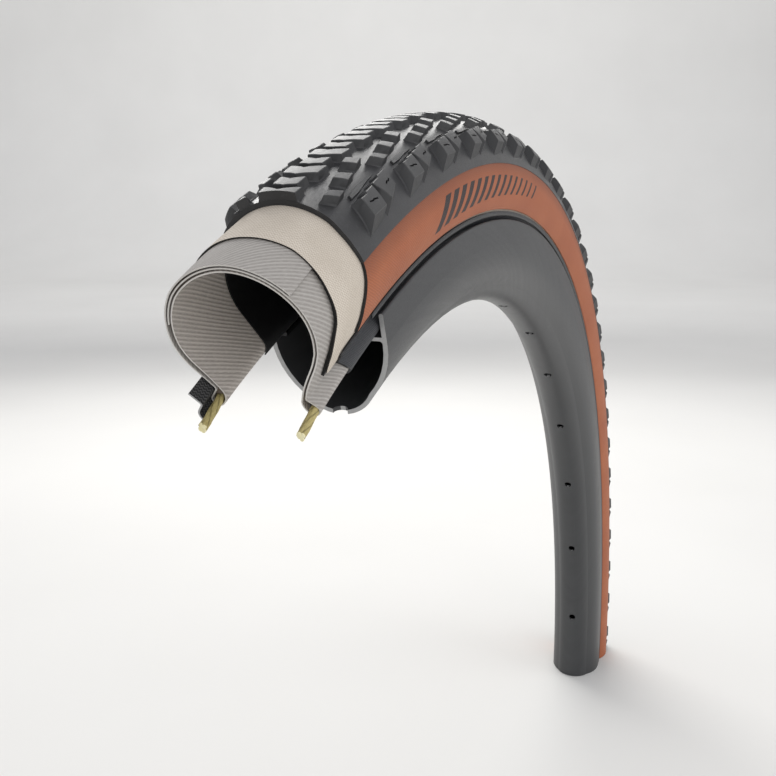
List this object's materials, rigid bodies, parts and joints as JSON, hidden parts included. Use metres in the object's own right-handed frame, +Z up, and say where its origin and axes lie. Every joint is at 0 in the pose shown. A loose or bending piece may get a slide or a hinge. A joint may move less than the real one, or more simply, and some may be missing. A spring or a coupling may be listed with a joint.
{
  "type": "bicycle tire",
  "caption": "Cutaway sector of a tan-wall gravel bicycle tyre on its rim, with every layer stepped back at one end to show casing, breaker, beads and tread.",
  "frame": {"origin": "the wheel's centre, on the axle line and in the rim's mid plane", "axes": "+Y along the axle away from the side seen first, +Z up through the top of the tyre, +X to the side where the sector ends in a flat level cut"},
  "size_m": [0.506, 0.0362, 0.351],
  "materials": {
    "tread_rubber": "matte moulded rubber",
    "tan_rubber": "matte skim over fine cord",
    "rim_graphite": "dark satin, brushed round the rim, bright at the cut",
    "casing": "rubberised parallel cord",
    "breaker_cloth": "fine cross weave",
    "liner": "smooth butyl",
    "bead_strand": "twisted aramid strands",
    "filler": "matte",
    "chafer_cloth": "open rubberised weave",
    "strip_rubber": "satin",
    "tape": "matte film"
  },
  "bodies": {
    "root": {"rim": "rim_graphite", "rim_tape": "tape", "inner_liner": "liner", "casing_ply": "casing", "bead_core_near": "bead_strand", "bead_core_far": "bead_strand", "bead_filler_near": "filler", "bead_filler_far": "filler", "breaker": "breaker_cloth", "chafer_near": "chafer_cloth", "chafer_far": "chafer_cloth", "rim_strip_near": "strip_rubber", "rim_strip_far": "strip_rubber", "sidewall_near": "tan_rubber", "sidewall_far": "tan_rubber", "tread_base": "tread_rubber", "centre_bars_wide": "tread_rubber", "centre_bars_narrow": "tread_rubber", "transition_blocks_near": "tread_rubber", "transition_blocks_far": "tread_rubber", "shoulder_knobs_near": "tread_rubber", "shoulder_knobs_far": "tread_rubber", "shoulder_ledges_near": "tread_rubber", "shoulder_ledges_far": "tread_rubber"}
  },
  "joints": []
}
